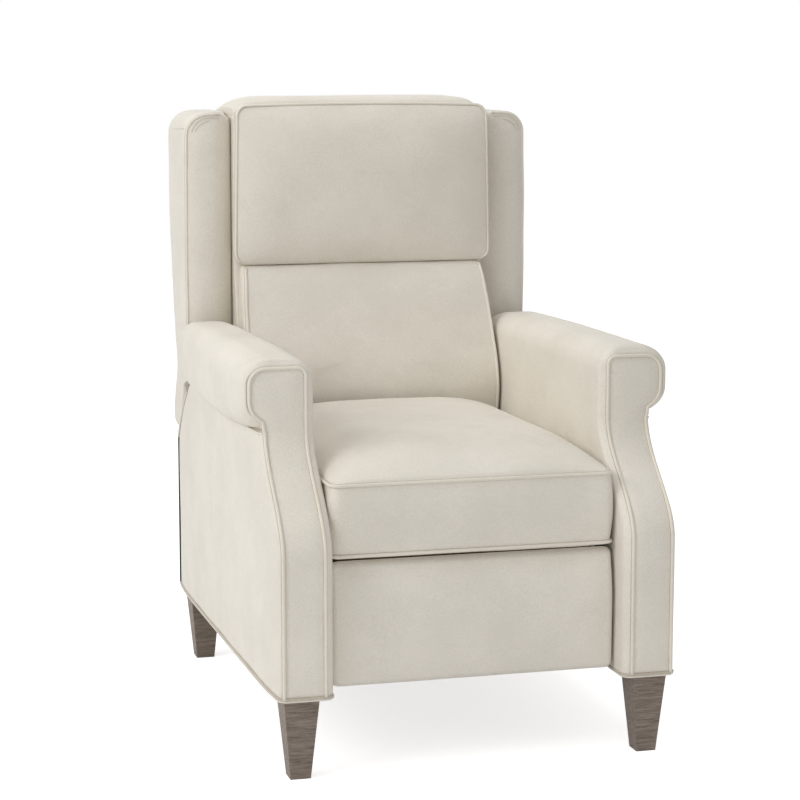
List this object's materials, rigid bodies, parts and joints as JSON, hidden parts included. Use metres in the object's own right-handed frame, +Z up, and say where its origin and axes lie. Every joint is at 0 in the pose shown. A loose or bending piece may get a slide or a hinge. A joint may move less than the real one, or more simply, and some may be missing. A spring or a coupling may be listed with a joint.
{
  "type": "recliner",
  "caption": "Wing-back push-back recliner with rolled arms, welted cushions, tapered wooden legs and a footrest that lifts out as the back reclines.",
  "frame": {"origin": "on the floor, at the middle of the footprint of the object's box at rest", "axes": "+Z up, +Y towards the back of the chair, +X towards the arm on the viewer's right when the chair faces the viewer"},
  "size_m": [0.732, 1.0386, 1.088],
  "materials": {
    "ivory_leather": "soft pebble grain, low sheen",
    "welt_leather": "leather wrapped over cord",
    "black_lining": "thin black lining cloth",
    "frame_wood": "plain sawn and ply",
    "leg_wood": "grey-brown, weathered, fine streaks across",
    "link_steel": "black painted strip steel",
    "spring_steel": "plain wire",
    "bolt_steel": "zinc plated"
  },
  "bodies": {
    "base": {"left_arm_pad": "ivory_leather", "right_arm_pad": "ivory_leather", "left_arm_frame": "frame_wood", "right_arm_frame": "frame_wood", "left_front_panel": "ivory_leather", "right_front_panel": "ivory_leather", "left_outside_panel": "ivory_leather", "right_outside_panel": "ivory_leather", "left_arm_welts": "welt_leather", "right_arm_welts": "welt_leather", "front_rail": "frame_wood", "rear_rail": "frame_wood", "rear_dust_panel": "black_lining", "rear_dust_covers": "black_lining", "front_left_leg": "leg_wood", "front_right_leg": "leg_wood", "rear_left_leg": "leg_wood", "rear_right_leg": "leg_wood", "leg_plates": "bolt_steel", "leg_bolts": "bolt_steel", "base_plates": "link_steel", "plate_screws": "bolt_steel"},
    "front_links": {"front_swing_links": "link_steel"},
    "rear_links": {"rear_swing_links": "link_steel"},
    "seat": {"seat_side_rails": "frame_wood", "seat_cross_rails": "frame_wood", "seat_springs": "spring_steel", "seat_deck": "black_lining", "seat_plates": "link_steel", "seat_cushion": "ivory_leather", "seat_welts": "welt_leather"},
    "lift": {"torque_tube": "link_steel", "drive_cranks": "link_steel", "lift_links": "link_steel"},
    "reach": {"reach_links": "link_steel"},
    "steering": {"steering_links": "link_steel"},
    "footrest": {"footrest_board": "frame_wood", "footrest_pad": "ivory_leather", "footrest_brackets": "link_steel"},
    "back": {"back_side_frames": "frame_wood", "back_rails": "frame_wood", "back_brackets": "link_steel", "outside_back": "ivory_leather", "back_crest": "ivory_leather", "left_wing": "ivory_leather", "right_wing": "ivory_leather", "wing_welts": "welt_leather", "head_pillow": "ivory_leather", "pillow_welt": "welt_leather", "lumbar_pad": "ivory_leather", "lumbar_welts": "welt_leather"}
  },
  "joints": [
    {"name": "back_recline", "type": "hinge", "parent": "seat", "child": "back", "pos_m": [0, 0.18427, 0.34], "axis": [-1, 0, 0], "range_deg": [0, 28]},
    {"name": "front_swing", "type": "hinge", "parent": "base", "child": "front_links", "pos_m": [0, -0.26573, 0.205], "axis": [1, 0, 0], "range_deg": [0, 20.01]},
    {"name": "seat_level", "type": "hinge", "parent": "front_links", "child": "seat", "pos_m": [0, -0.24702, 0.29303], "axis": [-1, 0, 0], "range_deg": [0, 20.01]},
    {"name": "rear_swing", "type": "hinge", "parent": "base", "child": "rear_links", "pos_m": [0, 0.08427, 0.205], "axis": [1, 0, 0], "range_deg": [0, 20.01]},
    {"name": "footrest_lift", "type": "hinge", "parent": "seat", "child": "lift", "pos_m": [0, -0.38273, 0.301], "axis": [-1, 0, 0], "range_deg": [0, 91.01]},
    {"name": "footrest_reach", "type": "hinge", "parent": "lift", "child": "reach", "pos_m": [0, -0.42133, 0.15708], "axis": [1, 0, 0], "range_deg": [0, 167.11]},
    {"name": "footrest_steering", "type": "hinge", "parent": "lift", "child": "steering", "pos_m": [0, -0.41864, 0.17892], "axis": [1, 0, 0], "range_deg": [0, 167.46]},
    {"name": "footrest_tilt", "type": "hinge", "parent": "reach", "child": "footrest", "pos_m": [0, -0.41673, 0.282], "axis": [-1, 0, 0], "range_deg": [0, 163.11]}
  ],
  "couplings": [
    {"joint": "front_swing", "follows": "back_recline", "ratio": 0.71429},
    {"joint": "seat_level", "follows": "back_recline", "ratio": 0.71429},
    {"joint": "rear_swing", "follows": "back_recline", "ratio": 0.71429},
    {"joint": "footrest_lift", "follows": "back_recline", "ratio": 3.25},
    {"joint": "footrest_reach", "follows": "back_recline", "ratio": 5.9679},
    {"joint": "footrest_steering", "follows": "back_recline", "ratio": 5.9804},
    {"joint": "footrest_tilt", "follows": "back_recline", "ratio": 5.825}
  ]
}
